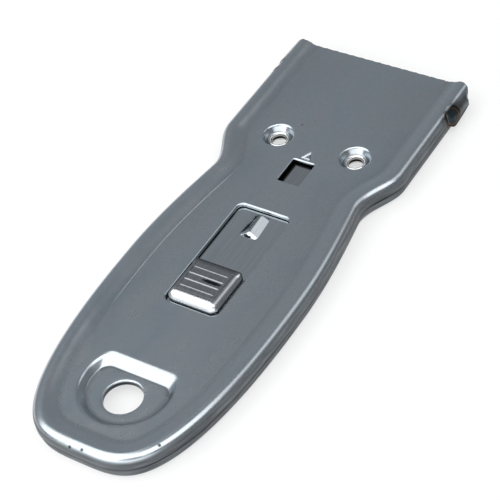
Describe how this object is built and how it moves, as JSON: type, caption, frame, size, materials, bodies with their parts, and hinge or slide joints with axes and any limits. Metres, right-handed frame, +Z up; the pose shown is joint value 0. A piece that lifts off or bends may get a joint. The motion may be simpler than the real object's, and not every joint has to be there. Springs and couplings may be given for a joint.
{
  "type": "razor blade scraper",
  "caption": "Flat pressed-steel scraper with a waisted handle, a hang hole, a ribbed thumb slide with a latch window, and a single-edge blade that slides out of the open head",
  "frame": {"origin": "under the middle of the housing, on the surface that the scraper lies on", "axes": "X across the blade, +Y along the handle to the mouth where the blade comes out, +Z up on the thumb button's side"},
  "size_m": [0.0472, 0.125, 0.0071],
  "materials": {
    "shell_steel": "pressed sheet steel with a bright plated, faintly scuffed finish",
    "eyelet_nickel": "bright nickel plate",
    "carrier_steel": "plain sheet steel",
    "spring_steel": "polished flat spring steel",
    "button_steel": "formed sheet steel, bright on its rolled edges",
    "blade_steel": "ground carbon steel",
    "spine_steel": "folded tin-plated steel strip"
  },
  "bodies": {
    "housing": {"top_shell": "shell_steel", "bottom_shell": "shell_steel", "left_eyelet": "eyelet_nickel", "right_eyelet": "eyelet_nickel"},
    "carriage": {"blade_carrier": "carrier_steel", "latch_spring": "spring_steel", "latch_rivets": "carrier_steel", "razor_blade": "blade_steel", "blade_spine": "spine_steel"},
    "thumb": {"thumb_button": "button_steel"}
  },
  "joints": [
    {"name": "blade_slide", "type": "slide", "parent": "housing", "child": "carriage", "axis": [0, 1, 0], "range_m": [0, 0.0175], "deforming": ["latch_spring"]},
    {"name": "thumb_press", "type": "slide", "parent": "carriage", "child": "thumb", "axis": [0, 0, -1], "range_m": [0, 0.0016], "stiffness_N_per_m": 2500, "deforming": ["latch_spring"]}
  ]
}
